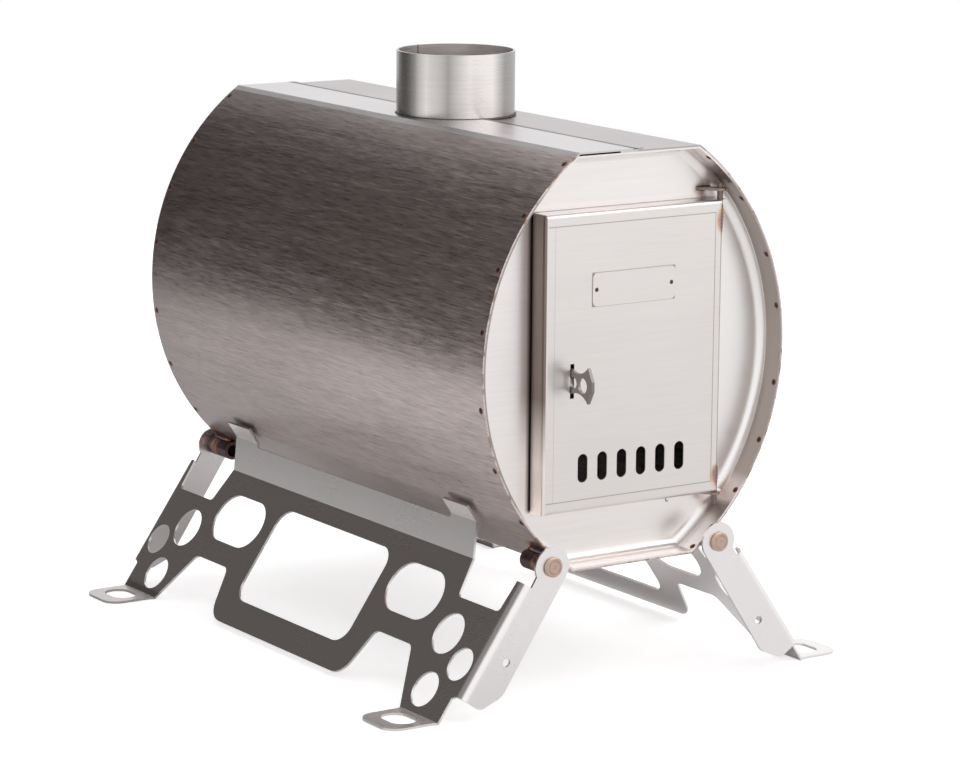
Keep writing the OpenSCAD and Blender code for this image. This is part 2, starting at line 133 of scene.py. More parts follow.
class StoveStudio(bpy.types.PropertyGroup):
    """The plain studio round the stove."""
    world: FloatProperty(
        name="Sky", description="Strength of the sky's light", min=0, max=3, default=1.0)
    key: FloatProperty(
        name="Key lamp", description="Power of the large lamp",
        subtype="POWER", unit="POWER", min=0, max=200, default=6)
    floor: FloatVectorProperty(
        name="Floor", description="Colour of the floor",
        subtype="COLOR", size=3, min=0, max=1, default=(0.84, 0.84, 0.84))


# ---- shader building blocks ----

def feed(tree, socket, value):
    """Links another node's socket in, or sets the input's own value."""
    if hasattr(value, "links"):
        tree.links.new(value, socket)
    elif value is not None:
        socket.default_value = value


def math_node(tree, operation, a, b=None, clamp=False):
    """A Math node on sockets or numbers; returns its result socket."""
    node = tree.nodes.new("ShaderNodeMath")
    node.operation = operation
    node.use_clamp = clamp
    feed(tree, node.inputs[0], a)
    feed(tree, node.inputs[1], b)
    return node.outputs[0]


def add(tree, a, b):
    """a + b."""
    return math_node(tree, "ADD", a, b)


def less(tree, a, b):
    """a - b."""
    return math_node(tree, "SUBTRACT", a, b)


def product(tree, *factors):
    """All factors multiplied."""
    out = factors[0]
    for factor in factors[1:]:
        out = math_node(tree, "MULTIPLY", out, factor)
    return out


def above(tree, value, limit):
    """1 where the value is over the limit."""
    return math_node(tree, "GREATER_THAN", value, limit)


def below(tree, value, limit):
    """1 where the value is under the limit."""
    return math_node(tree, "LESS_THAN", value, limit)


def greater(tree, a, b):
    """The larger of two values."""
    return math_node(tree, "MAXIMUM", a, b)


def distance(tree, value, centre):
    """How far a value is from a centre."""
    return math_node(tree, "ABSOLUTE", less(tree, value, centre))


def share_of(tree, value, whole):
    """value / whole, held between 0 and 1."""
    return math_node(tree, "DIVIDE", value, whole, clamp=True)


def band(tree, value, centre, half):
    """1 on the centre, falling to 0 half a width away."""
    fall = math_node(tree, "DIVIDE", distance(tree, value, centre), half)
    return math_node(tree, "SUBTRACT", 1.0, fall, clamp=True)


def within(tree, value, low, high, soft):
    """1 between two limits, with soft edges outside them."""
    past = less(tree, distance(tree, value, (low + high) / 2), (high - low) / 2)
    return math_node(tree, "SUBTRACT", 1.0, math_node(tree, "DIVIDE", past, soft), clamp=True)


def along(tree, dx, dy, direction):
    """Distance along a level direction."""
    return add(tree, product(tree, dx, direction[0]), product(tree, dy, direction[1]))


def vector_node(tree, operation, a, b=None, result="Vector"):
    """A Vector Math node on sockets or vectors; returns the named result socket."""
    node = tree.nodes.new("ShaderNodeVectorMath")
    node.operation = operation
    feed(tree, node.inputs[0], a)
    feed(tree, node.inputs[1], b)
    return node.outputs[result]


def split(tree, vector):
    """The x, y and z sockets of a vector."""
    node = tree.nodes.new("ShaderNodeSeparateXYZ")
    tree.links.new(vector, node.inputs[0])
    return node.outputs[0], node.outputs[1], node.outputs[2]


def noise(tree, place, scale, detail=2.0, roughness=0.5):
    """A noise texture; returns its value socket."""
    node = tree.nodes.new("ShaderNodeTexNoise")
    for name, value in (("Vector", place), ("Scale", scale), ("Detail", detail),
                        ("Roughness", roughness)):
        feed(tree, node.inputs[name], value)
    return node.outputs[0]


def swing(tree, cloud, amount):
    """A noise value turned into a swing round 0."""
    return product(tree, less(tree, cloud, 0.5), amount)


def mix_colour(tree, factor, a, b, blend="MIX"):
    """A colour Mix node; returns its result socket."""
    node = tree.nodes.new("ShaderNodeMix")
    node.data_type = "RGBA"
    node.blend_type = blend
    feed(tree, node.inputs[0], factor)
    for socket, value in ((node.inputs[6], a), (node.inputs[7], b)):
        feed(tree, socket, value if hasattr(value, "links") else (*value, 1))
    return node.outputs[2]


def paint(tree, under, coat, *masks):
    """Lays a colour over another where the masks, multiplied, are 1; a number thins it."""
    return mix_colour(tree, product(tree, *masks), under, coat)


def ramp(tree, factor, stops):
    """A colour ramp with the given (position, colour) stops; returns its colour socket."""
    node = tree.nodes.new("ShaderNodeValToRGB")
    for i, (at, colour) in enumerate(stops):
        elements = node.color_ramp.elements
        stop = elements[i] if i < 2 else elements.new(at)
        stop.position = at
        stop.color = (*colour, 1)
    tree.links.new(factor, node.inputs[0])
    return node.outputs[0]


# ---- shader node groups that the finishes share ----

def new_group(name, inputs, outputs):
    """A shader node group with named sockets.

    Returns the group, its inputs' sockets in order and its output node.
    """
    group = bpy.data.node_groups.new(name, "ShaderNodeTree")
    for label, kind, value in inputs:
        socket = group.interface.new_socket(name=label, in_out="INPUT", socket_type=kind)
        if value is not None:
            socket.default_value = value
    for label, kind in outputs:
        group.interface.new_socket(name=label, in_out="OUTPUT", socket_type=kind)
    given = group.nodes.new("NodeGroupInput").outputs
    return group, [given[i] for i in range(len(inputs))], group.nodes.new("NodeGroupOutput")


def build_grain_group():
    """Brushing lines: fine scratches and broader streaks, drawn out along one direction."""
    tree, (place, stretch, contrast), outs = new_group("Brushed Grain", [
        ("Position", "NodeSocketVector", None),
        ("Stretch", "NodeSocketVector", (900, 20, 900)),
        ("Contrast", "NodeSocketFloat", 0.5),
    ], [("Tone", "NodeSocketFloat"), ("Roughness", "NodeSocketFloat"), ("Height", "NodeSocketFloat")])
    drawn_out = vector_node(tree, "MULTIPLY", place, stretch)
    scratches = noise(tree, drawn_out, 1.0, detail=3.0, roughness=0.65)
    streaks = noise(tree, drawn_out, 0.16)
    lines = product(tree, add(tree, swing(tree, scratches, 1.3), swing(tree, streaks, 0.4)), contrast)
    tree.links.new(add(tree, lines, 1.0), outs.inputs["Tone"])
    tree.links.new(product(tree, lines, 0.35), outs.inputs["Roughness"])
    tree.links.new(scratches, outs.inputs["Height"])
    return tree


def build_tint_group():
    """Oxide colours round a heated point: scorched, rust red, purple, amber and straw, outward."""
    oxides = [(0.0, (0.13, 0.06, 0.045)), (0.26, (0.34, 0.11, 0.06)), (0.44, (0.27, 0.15, 0.22)),
              (0.60, (0.62, 0.29, 0.11)), (0.82, (0.80, 0.62, 0.38)), (1.0, (0.82, 0.74, 0.62))]
    edge = 2.2          # how sharply the outermost colour starts
    tree, (colour, place, centre, radius, strength), outs = new_group("Heat Tint", [
        ("Colour", "NodeSocketColor", (0.6, 0.6, 0.6, 1)),
        ("Position", "NodeSocketVector", None),
        ("Centre", "NodeSocketVector", (0, 0, 0)),
        ("Radius", "NodeSocketVector", (0.02, 0.02, 0.02)),
        ("Strength", "NodeSocketFloat", 0.8),
    ], [("Colour", "NodeSocketColor")])
    offset = vector_node(tree, "DIVIDE", vector_node(tree, "SUBTRACT", place, centre), radius)
    away = vector_node(tree, "LENGTH", offset, result="Value")
    reach = add(tree, away, swing(tree, noise(tree, place, 160.0), 0.5))
    fade = math_node(tree, "SUBTRACT", 1.0, reach, clamp=True)
    mask = math_node(tree, "MULTIPLY", math_node(tree, "MULTIPLY", fade, edge, clamp=True),
                     strength, clamp=True)
    tree.links.new(paint(tree, colour, ramp(tree, reach, oxides), mask), outs.inputs["Colour"])
    return tree


def build_patch_group():
    """Broad patches from handling and rolling, as a tone near 1 and a shift of roughness."""
    tree, (place, size, amount), outs = new_group("Handled Patches", [
        ("Position", "NodeSocketVector", None),
        ("Size", "NodeSocketFloat", 14.0),
        ("Amount", "NodeSocketFloat", 0.1),
    ], [("Tone", "NodeSocketFloat"), ("Roughness", "NodeSocketFloat")])
    patches = swing(tree, noise(tree, place, size, detail=3.0), amount)
    tree.links.new(add(tree, patches, 1.0), outs.inputs["Tone"])
    tree.links.new(product(tree, patches, -0.6), outs.inputs["Roughness"])
    return tree


MAKERS = {"grain": build_grain_group, "tint": build_tint_group, "patches": build_patch_group}
GROUPS = {}         # each shared group, once it is built


def group_node(tree, key, **values):
    """Places a shared group in a material and feeds its named inputs."""
    if key not in GROUPS:
        GROUPS[key] = MAKERS[key]()
    node = tree.nodes.new("ShaderNodeGroup")
    node.node_tree = GROUPS[key]
    for name, value in values.items():
        feed(tree, node.inputs[name], value)
    return node


def even(scale):
    """A stretch with no direction, for steel that isn't brushed."""
    return scale, scale, scale


def steel(name, colour, rough, stretch, contrast, patches, bump=0.04, marks=None, tints=()):
    """A brushed steel material.

    The brushing is drawn out by stretch, contrast and patches swing its tone, marks paints
    what belongs to one sheet, painted light and shade among it, and tints are the (centre,
    radius, strength) of heated points.
    """
    material = bpy.data.materials.new(name)
    material.use_nodes = True
    tree = material.node_tree
    shader = tree.nodes["Principled BSDF"]
    shader.inputs["Metallic"].default_value = 1.0
    place = tree.nodes.new("ShaderNodeTexCoord").outputs["Object"]
    grain = group_node(tree, "grain", Position=place, Stretch=stretch, Contrast=contrast)
    handled = group_node(tree, "patches", Position=place, Size=14.0, Amount=patches)

    grey = tree.nodes.new("ShaderNodeCombineColor")
    tone = product(tree, grain.outputs["Tone"], handled.outputs["Tone"])
    for socket in grey.inputs:
        tree.links.new(tone, socket)
    out = mix_colour(tree, 1.0, colour, grey.outputs[0], "MULTIPLY")
    if marks:
        out = marks(tree, place, out)
    for centre, radius, strength in tints:
        out = group_node(tree, "tint", Colour=out, Position=place, Centre=centre, Radius=radius,
                         Strength=strength).outputs["Colour"]
    tree.links.new(out, shader.inputs["Base Color"])

    roughness = math_node(tree, "ADD", add(tree, grain.outputs["Roughness"], rough),
                          handled.outputs["Roughness"], clamp=True)
    tree.links.new(roughness, shader.inputs["Roughness"])
    scratched = tree.nodes.new("ShaderNodeBump")
    scratched.inputs["Strength"].default_value = bump
    scratched.inputs["Distance"].default_value = 0.0002
    tree.links.new(grain.outputs["Height"], scratched.inputs["Height"])
    tree.links.new(scratched.outputs[0], shader.inputs["Normal"])
    return material


# ---- mesh building blocks ----

def finish(material, *names):
    """Gives CAD nodes their material."""
    for name in names:
        mesh = NODES[name].data
        mesh.materials.clear()
        mesh.materials.append(material)


def mesh_from(bm, name):
    """Turns the built form into a smooth-shaded mesh with outward faces."""
    bmesh.ops.recalc_face_normals(bm, faces=bm.faces)
    mesh = bpy.data.meshes.new(name)
    bm.to_mesh(mesh)
    bm.free()
    mesh.shade_smooth()
    return mesh


def add_piece(name, bm, body, slot, *materials):
    """Makes the built form a piece that rides on a body and takes the given materials; the slot is
    not used.
    """
    piece = bpy.data.objects.new(name, mesh_from(bm, name))
    bpy.context.scene.collection.objects.link(piece)
    for material in materials:
        piece.data.materials.append(material)
    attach(piece, body)


def full_turn(count):
    """Angles spaced evenly round a circle."""
    return [2 * math.pi * k / count for k in range(count)]


def line(a, b, step=0.0004):
    """Points from a to b about a step apart."""
    count = max(2, int((b - a).length / step) + 1)
    return [a.lerp(b, k / (count - 1)) for k in range(count)]


def side_point(side, angle, radius):
    """A point of the barrel's section, by its angle above level on one side."""
    a = math.radians(angle)
    return Vector((side * (ARC_X + radius * math.cos(a)), 0, AXIS_Z + radius * math.sin(a)))


def dome(bm, centre, normal, radius):
    """A spot weld's mark: a rusty rim (second material) round a dark raised core (first)."""
    height, tip_lift, sides = 0.00025, 0.6, 16
    profile = [(1.0, -0.3), (0.94, 0.25), (0.60, 0.35), (0.52, 1.0), (0.26, 0.75)]
    rim_rows = 2            # rows of faces that are rust, counted from the outside
    turn = normal.to_track_quat("Z", "Y").to_matrix()
    rows = []
    for share, lift in profile:
        rows.append([bm.verts.new(centre + turn @ Vector((
            radius * share * math.cos(t), radius * share * math.sin(t), height * lift)))
            for t in full_turn(sides)])
    tip = bm.verts.new(centre + turn @ Vector((0, 0, height * tip_lift)))
    for level, (outer, inner) in enumerate(zip(rows, rows[1:])):
        for k in range(sides):
            after = (k + 1) % sides
            face = bm.faces.new((outer[k], outer[after], inner[after], inner[k]))
            face.material_index = 1 if level < rim_rows else 0
    for k in range(sides):
        bm.faces.new((rows[-1][k], rows[-1][(k + 1) % sides], tip))
    bm.faces.new(list(reversed(rows[0]))).material_index = 1


def bead(bm, points, radius, pitch=0.0011, ripple=0.18, closed=False):
    """A weld bead along points: a tube whose radius ripples with the welder's steps."""
    sides, end_share, end_round = 8, 0.25, 0.35
    count = len(points)
    rows = []
    run = 0.0
    for i, p in enumerate(points):
        before = points[i - 1] if i or closed else p
        after = points[(i + 1) % count] if i + 1 < count or closed else p
        forward = (after - before).normalized()
        side = forward.cross(Vector((0, 0, 1)))
        side = side.normalized() if side.length > 1e-3 else Vector((1, 0, 0))
        up = side.cross(forward)
        if i:
            run += (p - points[i - 1]).length
        r = radius * (1 + ripple * math.sin(2 * math.pi * run / pitch))
        if not closed:
            r *= max(end_share, math.sin(math.pi * (i + 0.5) / count) ** end_round)
        rows.append([bm.verts.new(p + r * (math.cos(t) * side + math.sin(t) * up))
                     for t in full_turn(sides)])
    pairs = list(zip(rows, rows[1:])) + ([(rows[-1], rows[0])] if closed else [])
    for a, b in pairs:
        for k in range(sides):
            bm.faces.new((a[k], a[(k + 1) % sides], b[(k + 1) % sides], b[k]))
    if not closed:
        bm.faces.new(list(reversed(rows[0])))
        bm.faces.new(rows[-1])


# ---- marks, painted light and painted shade that belong to one sheet ----

def shell_marks(tree, place, colour):
    """Browns the barrel's cut rim, paints shade on its sides that grows darker rearward, and draws
    the lap along the top with a painted shadow line.
    """
    rust, painted_lap_shadow, painted_rear_shade = (0.36, 0.22, 0.15), (0.04, 0.035, 0.035), (0.60, 0.60, 0.60)
    upper_sheet, lower_sheet = (0.76, 0.755, 0.775), (0.50, 0.485, 0.50)
    lap_left, lap_right = -0.0045, -0.0012
    x, y, z = split(tree, place)
    rim = below(tree, y, FRONT_Y + 0.0004)
    top_rim = above(tree, z, AXIS_Z + 0.1215)
    spots = math_node(tree, "MULTIPLY", less(tree, noise(tree, place, 130.0), 0.52), 9.0, clamp=True)
    rusty = greater(tree, product(tree, top_rim, 0.75), spots)
    colour = paint(tree, colour, rust, rim, rusty, 0.9)
    # painted shadow: a dark line along the lap on the top
    lap = product(tree, within(tree, x, lap_left, lap_right, 0.0004), above(tree, z, TOP_Z - 0.0005))
    colour = paint(tree, colour, painted_lap_shadow, lap, 0.95)
    # painted shade: the barrel's sides grow darker toward the rear
    side = below(tree, z, TOP_Z - 0.0025)
    rearward = share_of(tree, less(tree, y, FRONT_Y), BACK_Y - FRONT_Y)
    shade = mix_colour(tree, rearward, (1.0, 1.0, 1.0), painted_rear_shade)
    colour = mix_colour(tree, side, colour, shade, "MULTIPLY")
    top = math_node(tree, "SUBTRACT", less(tree, 1.0, side), product(tree, lap, 0.9), clamp=True)
    sheets = mix_colour(tree, above(tree, x, lap_right + 0.0001), upper_sheet, lower_sheet)
    return paint(tree, colour, sheets, top, 0.7)


def end_marks(tree, place, colour):
    """Browns the flange's inside, paints light on the web so it grows paler rightward, and paints
    shadow on the web beside the door.
    """
    browned, pale, painted_door_shadow = (0.32, 0.27, 0.24), (1.0, 0.985, 0.975), (0.06, 0.05, 0.05)
    door_left = DOOR_BOX[0][0]
    x, y, z = split(tree, place)
    flange = below(tree, y, WEB_Y - 0.0045)
    upright = within(tree, z, AXIS_Z - 0.080, AXIS_Z + 0.100, 0.012)
    colour = paint(tree, colour, browned, flange, upright, 0.86)
    # painted light: the web grows paler toward the right
    web = above(tree, y, WEB_Y - 0.003)
    colour = paint(tree, colour, pale, web, share_of(tree, x, 0.115), 0.8)
    # painted shadow: a dark band on the web along the door's left edge
    beside = within(tree, x, door_left - 0.0008, door_left + 0.004, 0.0026)
    door_high = within(tree, z, AXIS_Z - 0.088, AXIS_Z + 0.088, 0.003)
    on_web = within(tree, y, WEB_Y - 0.001, WEB_Y + 0.0006, 0.0005)
    return paint(tree, colour, painted_door_shadow, beside, door_high, on_web, 0.9)


def door_painted_light_and_shade(tree, place, colour):
    """Paints light on the left bend's lower part and shade on its upper part, and draws the face's
    crease and the line round the bare plate as painted shade.
    """
    pale, painted_bend_shade = (1.0, 0.92, 0.88), (0.22, 0.17, 0.15)
    painted_crease_shade, painted_plate_shadow = (0.20, 0.17, 0.165), (0.16, 0.14, 0.135)
    crease_left, crease_right, crease_up = -0.0567, 0.0600, 0.0827
    level_left = -0.0615            # the level creases run on to the bend
    x, y, z = split(tree, place)
    # painted light and shade: the left bend is pale below and darkened above
    bend = below(tree, x, DOOR_BOX[0][0] + 0.0016)
    upper = within(tree, z, AXIS_Z - 0.020, AXIS_Z + 0.1, 0.040)
    colour = paint(tree, colour, pale, bend, 0.9)
    colour = paint(tree, colour, painted_bend_shade, bend, upper, 0.95)
    up = distance(tree, z, AXIS_Z)
    between = below(tree, up, crease_up)
    level = product(tree, band(tree, up, crease_up, 0.00042),
                    within(tree, x, level_left, crease_right, 0.0008))
    right = product(tree, band(tree, x, crease_right, 0.00042), between)
    left = product(tree, band(tree, x, crease_left, 0.0004), between, 0.35)
    # painted shade: thin dark lines where the face is creased
    crease = greater(tree, greater(tree, level, right), left)
    face = below(tree, y, FACE_Y + 0.0003)
    colour = paint(tree, colour, painted_crease_shade, crease, face, 0.8)
    # painted shadow: a thin dark outline on the face round the bare plate
    (plate_left, _, plate_low), (plate_right, _, plate_high) = BADGE_BOX
    round_plate = product(tree, within(tree, x, plate_left, plate_right, 0.0006),
                          within(tree, z, plate_low, plate_high, 0.0006))
    return paint(tree, colour, painted_plate_shadow, round_plate, face, 0.7)


def leg_painted_shade(tree, place, colour):
    """Paints shade on the upright lip that lies along the barrel, and on the rear foot."""
    facing = split(tree, tree.nodes.new("ShaderNodeTexCoord").outputs["Normal"])[0]
    # painted shade: the upright lip is darkened
    lip = above(tree, math_node(tree, "ABSOLUTE", facing), 0.93)
    colour = paint(tree, colour, (0.40, 0.37, 0.36), lip, 0.5)
    x, y, z = split(tree, place)
    # painted shade: the rear foot is darkened
    foot = product(tree, within(tree, z, -0.001, 0.004, 0.002), above(tree, y, BACK_Y - 0.080))
    return paint(tree, colour, (0.45, 0.42, 0.41), foot, 0.8)


def collar_painted_reflections_and_seam(tree, place, colour):
    """Painted reflection bands, light and dark, round the outside of the flue collar, and its upright
    seam.
    """
    light, painted_dark_reflection, seam_line = (0.97, 0.97, 0.97), (0.41, 0.41, 0.41), (0.16, 0.14, 0.13)
    bands_run, past_seam = (0.834, -0.551), (0.988, 0.150)
    x, y, z = split(tree, place)
    dx, dy = less(tree, x, COLLAR.x), less(tree, y, COLLAR.y)
    # painted reflection: light and dark upright bands stand in for the studio mirrored in the collar
    share = add(tree, math_node(tree, "DIVIDE", along(tree, dx, dy, bands_run), COLLAR_D), 0.5)
    bands = ramp(tree, share, [(0.16, painted_dark_reflection), (0.26, light), (0.44, painted_dark_reflection), (0.62, light),
                               (0.81, light), (0.91, painted_dark_reflection)])
    away = math_node(tree, "SQRT", add(tree, product(tree, dx, dx), product(tree, dy, dy)))
    outside = above(tree, away, COLLAR_D / 2 - 0.0003)
    colour = mix_colour(tree, outside, colour, bands, "MULTIPLY")
    seam = band(tree, along(tree, dx, dy, past_seam), 0.0, 0.0009)
    return paint(tree, colour, seam_line, seam, above(tree, dy, 0.0), 0.9)


# ---- finishes ----

class STOVE_OT_barrel_finish(bpy.types.Operator):
    """Brushes the barrel sheet along its length"""
    bl_idname = "stove.barrel_finish"
    bl_label = "Barrel finish"

    def execute(self, context):
        look = context.scene.stove_steel
        scorched = [(boss + Vector((side * 0.002, 0, 0.006)), (0.012, 0.017, 0.012), 0.8)
                    for (end, side), boss in BOSS.items()]
        finish(steel("barrel_sheet", look.barrel, rough=0.34, stretch=ALONG_BARREL,
                     contrast=1.8 * look.grain, patches=0.16, bump=0.05, marks=shell_marks,
                     tints=scorched), "shell")
        return {"FINISHED"}


class STOVE_OT_collar_finish(bpy.types.Operator):
    """Brushes the flue collar round its axis"""
    bl_idname = "stove.collar_finish"
    bl_label = "Flue collar finish"

    def execute(self, context):
        look = context.scene.stove_steel
        finish(steel("collar_sheet", look.sheet, rough=0.28, stretch=ROUND_COLLAR,
                     contrast=0.4 * look.grain, patches=0.08, marks=collar_painted_reflections_and_seam), "flue_collar")
        return {"FINISHED"}


class STOVE_OT_end_finish(bpy.types.Operator):
    """Finishes the two dished end plates, the hinge's fixed ears and the keeper"""
    bl_idname = "stove.end_finish"
    bl_label = "End plate finish"

    def execute(self, context):
        look = context.scene.stove_steel
        spot = (0.0065, 0.008, 0.0055)
        tints = [(Vector((x, WEB_Y, AXIS_Z + up)), spot, strength)
                 for x, up, strength in ((0.0648, -0.0960, 0.25), (0.0666, -0.1012, 0.25),
                                         (0.0676, 0.0966, 0.35), (0.0575, 0.0952, 0.45))]
        finish(steel("end_sheet", look.sheet, rough=0.33, stretch=ACROSS_FRONT,
                     contrast=0.17 * look.grain, patches=0.06, marks=end_marks, tints=tints),
               "front_plate", "back_plate")
        finish(steel("ear_steel", (0.33, 0.26, 0.23), rough=0.36, stretch=even(300), contrast=0.2,
                     patches=0.15), "hinge_tab_upper", "hinge_tab_lower", "latch_keeper")
        return {"FINISHED"}


class STOVE_OT_door_finish(bpy.types.Operator):
    """Finishes the door, its bare plate, its rivets and its hinge rods"""
    bl_idname = "stove.door_finish"
    bl_label = "Door finish"

    def execute(self, context):
        look = context.scene.stove_steel
        at_hinges = [
            (Vector((0.0662, FACE_Y + 0.002, AXIS_Z + 0.0775)), (0.0074, 0.02, 0.0110), 0.75),
            (Vector((0.0655, FACE_Y + 0.002, AXIS_Z - 0.0795)), (0.0078, 0.02, 0.0095), 0.8)]
        finish(steel("door_sheet", look.door, rough=0.33, stretch=ACROSS_FRONT,
                     contrast=0.17 * look.grain, patches=0.06, marks=door_painted_light_and_shade, tints=at_hinges),
               "door_panel")
        finish(steel("bare_plate", look.door, rough=0.30, stretch=ACROSS_PLATE, contrast=0.04,
                     patches=0.03, bump=0.0), "badge_plate")
        finish(steel("rivet_steel", look.dark, rough=0.4, stretch=even(200), contrast=0.2,
                     patches=0.2), "badge_rivet_left", "badge_rivet_right")
        finish(steel("hinge_rod", (0.22, 0.17, 0.155), rough=0.38, stretch=ALONG_ROD, contrast=0.4,
                     patches=0.3), "hinge_pin_upper", "hinge_pin_lower")
        return {"FINISHED"}


class STOVE_OT_latch_finish(bpy.types.Operator):
    """Finishes the latch plate, its bracket and its pin"""
    bl_idname = "stove.latch_finish"
    bl_label = "Latch finish"

    def execute(self, context):
        finish(steel("latch_steel", (0.27, 0.25, 0.245), rough=0.32, stretch=even(400),
                     contrast=0.15, patches=0.15),
               "latch_plate", "latch_bracket", "latch_pivot_pin")
        return {"FINISHED"}


class STOVE_OT_pivot_finish(bpy.types.Operator):
    """Finishes the pivot bosses, blued by welding, and the pivot pins"""
    bl_idname = "stove.pivot_finish"
    bl_label = "Pivot finish"

    def execute(self, context):
        at_mouth = [(boss + Vector((0, INWARD[end] * -0.004, 0)), (0.012, 0.005, 0.012), 0.7)
                    for (end, side), boss in BOSS.items()]
        blued = steel("blued_boss", (0.15, 0.10, 0.10), rough=0.42, stretch=ROUND_BOSS,
                      contrast=0.9, patches=0.9, tints=at_mouth)
        head = steel("pin_steel", (0.60, 0.45, 0.37), rough=0.3, stretch=even(300), contrast=0.15,
                     patches=0.2)
        for end in INWARD:
            for side in SIDES.values():
                finish(blued, f"pivot_boss_{end}_{side}")
                finish(head, f"pivot_pin_{end}_{side}")
        return {"FINISHED"}


class STOVE_OT_leg_finish(bpy.types.Operator):
    """Finishes the two bent legs"""
    bl_idname = "stove.leg_finish"
    bl_label = "Leg finish"

    def execute(self, context):
        look = context.scene.stove_steel
        finish(steel("leg_sheet", look.leg, rough=0.27, stretch=ALONG_LEG, contrast=0.04,
                     patches=0.05, bump=0.0, marks=leg_painted_shade), "leg_left", "leg_right")
        return {"FINISHED"}


# ---- welds ----

class STOVE_OT_spot_welds(bpy.types.Operator):
    """Marks the spot welds that hold both end plates in the barrel"""
    bl_idname = "stove.spot_welds"
    bl_label = "Spot welds"

    def execute(self, context):
        sizes = context.scene.stove_welds
        angles = {-1: (52, 37, 23.6, 9.4, -8, -22.5, -37, -53),
                  1: (51, 36.9, 21.3, 8.5, -9.8, -23.7, -36.8, -54)}
        inner_inset = 0.0025
        core = steel("spot_core", (0.08, 0.055, 0.055), rough=0.5, stretch=even(300), contrast=0.3,
                     patches=0.3)
        rust = steel("spot_rust", (0.30, 0.13, 0.09), rough=0.55, stretch=even(300), contrast=0.5,
                     patches=0.5)
        for end, edge in (("front", FRONT_Y), ("rear", BACK_Y)):
            bm = bmesh.new()
            for side, places in angles.items():
                for angle in places:
                    out = (side_point(side, angle, 1) - side_point(side, angle, 0)).normalized()
                    for radius, facing, inset in ((SIDE_R, 1, sizes.spot_inset),
                                                  (SIDE_R - RIM_WALL, -1, inner_inset)):
                        at = side_point(side, angle, radius)
                        at.y = edge + INWARD[end] * inset
                        dome(bm, at, out * facing, sizes.spot_radius)
            if end == "front":      # one more, on the lower sheet beside the lap
                dome(bm, Vector((0.0048, FRONT_Y + 0.0065, TOP_Z - 0.001)), Vector((0, 0, 1)),
                     sizes.spot_radius)
            add_piece(f"spot_welds_{end}", bm, "stove", "shell", core, rust)
        return {"FINISHED"}


class STOVE_OT_flue_weld(bpy.types.Operator):
    """Lays the weld bead round the foot of the flue collar"""
    bl_idname = "stove.flue_weld"
    bl_label = "Flue weld"

    def execute(self, context):
        sizes = context.scene.stove_welds
        radius = COLLAR_D / 2 + 0.0004
        points = [COLLAR + Vector((radius * math.cos(t), radius * math.sin(t), TOP_Z - 0.0002))
                  for t in full_turn(420)]
        bm = bmesh.new()
        bead(bm, points, sizes.bead_radius, pitch=0.0022, closed=True)
        weld = steel("weld_bead", (0.13, 0.10, 0.09), rough=0.42, stretch=even(300), contrast=0.3,
                     patches=0.4)
        add_piece("flue_weld", bm, "stove", "flue_collar", weld)
        return {"FINISHED"}


class STOVE_OT_boss_welds(bpy.types.Operator):
    """Lays the two beads that hold each pivot boss on the barrel"""
    bl_idname = "stove.boss_welds"
    bl_label = "Boss welds"

    def execute(self, context):
        half_length = 0.0105
        heated = [(boss + Vector((0, INWARD[end] * 0.010, 0.007)), (0.012, 0.006, 0.012), 0.85)
                  for (end, side), boss in BOSS.items()]
        weld = steel("boss_bead", (0.22, 0.21, 0.25), rough=0.42, stretch=even(260), contrast=0.5,
                     patches=0.4, tints=heated)
        for (end, side), boss in BOSS.items():
            bm = bmesh.new()
            for angle in (-50.9, -47.1):
                at = side_point(side, angle, SIDE_R + 0.0010)
                bead(bm, line(Vector((at.x, boss.y - half_length, at.z)),
                              Vector((at.x, boss.y + half_length, at.z))), 0.0015, pitch=0.0019)
            add_piece(f"boss_weld_{end}_{SIDES[side]}", bm, "stove", "shell", weld)
        return {"FINISHED"}


class STOVE_OT_hinge_welds(bpy.types.Operator):
    """Lays the beads along both hinge pins on the door and at the feet of the fixed ears"""
    bl_idname = "stove.hinge_welds"
    bl_label = "Hinge welds"

    def execute(self, context):
        rod_y, low_x, high_x = FRONT_Y + 0.0060, 0.0655, 0.0660
        for name, colour, low, high in (("upper", (0.42, 0.20, 0.13), 0.068, 0.088),
                                        ("lower", (0.27, 0.27, 0.33), -0.0866, -0.0737)):
            heated = steel(f"hinge_bead_{name}", colour, rough=0.40, stretch=even(260),
                           contrast=0.5, patches=0.5)
            bm = bmesh.new()
            bead(bm, line(Vector((low_x, rod_y, AXIS_Z + low)),
                          Vector((high_x, rod_y, AXIS_Z + high))), 0.0010, pitch=0.0022)
            add_piece(f"hinge_weld_{name}", bm, "door", f"hinge_pin_{name}", heated)
        dark = steel("ear_bead", (0.15, 0.09, 0.07), rough=0.5, stretch=even(260), contrast=0.4,
                     patches=0.4)
        foot_y = WEB_Y - 0.0004
        for name in ("upper", "lower"):
            low, high = (Vector(corner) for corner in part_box(f"hinge_tab_{name}"))
            bm = bmesh.new()
            for z in (low.z - 0.0002, high.z + 0.0002):
                bead(bm, line(Vector((low.x + 0.0008, foot_y, z)),
                              Vector((high.x - 0.0045, foot_y, z))), 0.0007, pitch=0.0016)
            add_piece(f"ear_weld_{name}", bm, "stove", f"hinge_tab_{name}", dark)
        return {"FINISHED"}


class STOVE_OT_web_mark(bpy.types.Operator):
    """Adds the small open ring of spatter on the front web"""
    bl_idname = "stove.web_mark"
    bl_label = "Web mark"

    def execute(self, context):
        x, z, ring = 0.0378, AXIS_Z - 0.094, 0.0012
        open_ring = [math.radians(angle) for angle in range(50, 311, 26)]
        bm = bmesh.new()
        bead(bm, [Vector((x + ring * math.cos(t), WEB_Y, z + ring * math.sin(t)))
                  for t in open_ring], 0.00035, ripple=0.0)
        dark = steel("spatter", context.scene.stove_steel.dark, rough=0.5, stretch=even(300),
                     contrast=0.2, patches=0.2)
        add_piece("web_mark", bm, "stove", "front_plate", dark)
        return {"FINISHED"}


# ---- studio ----

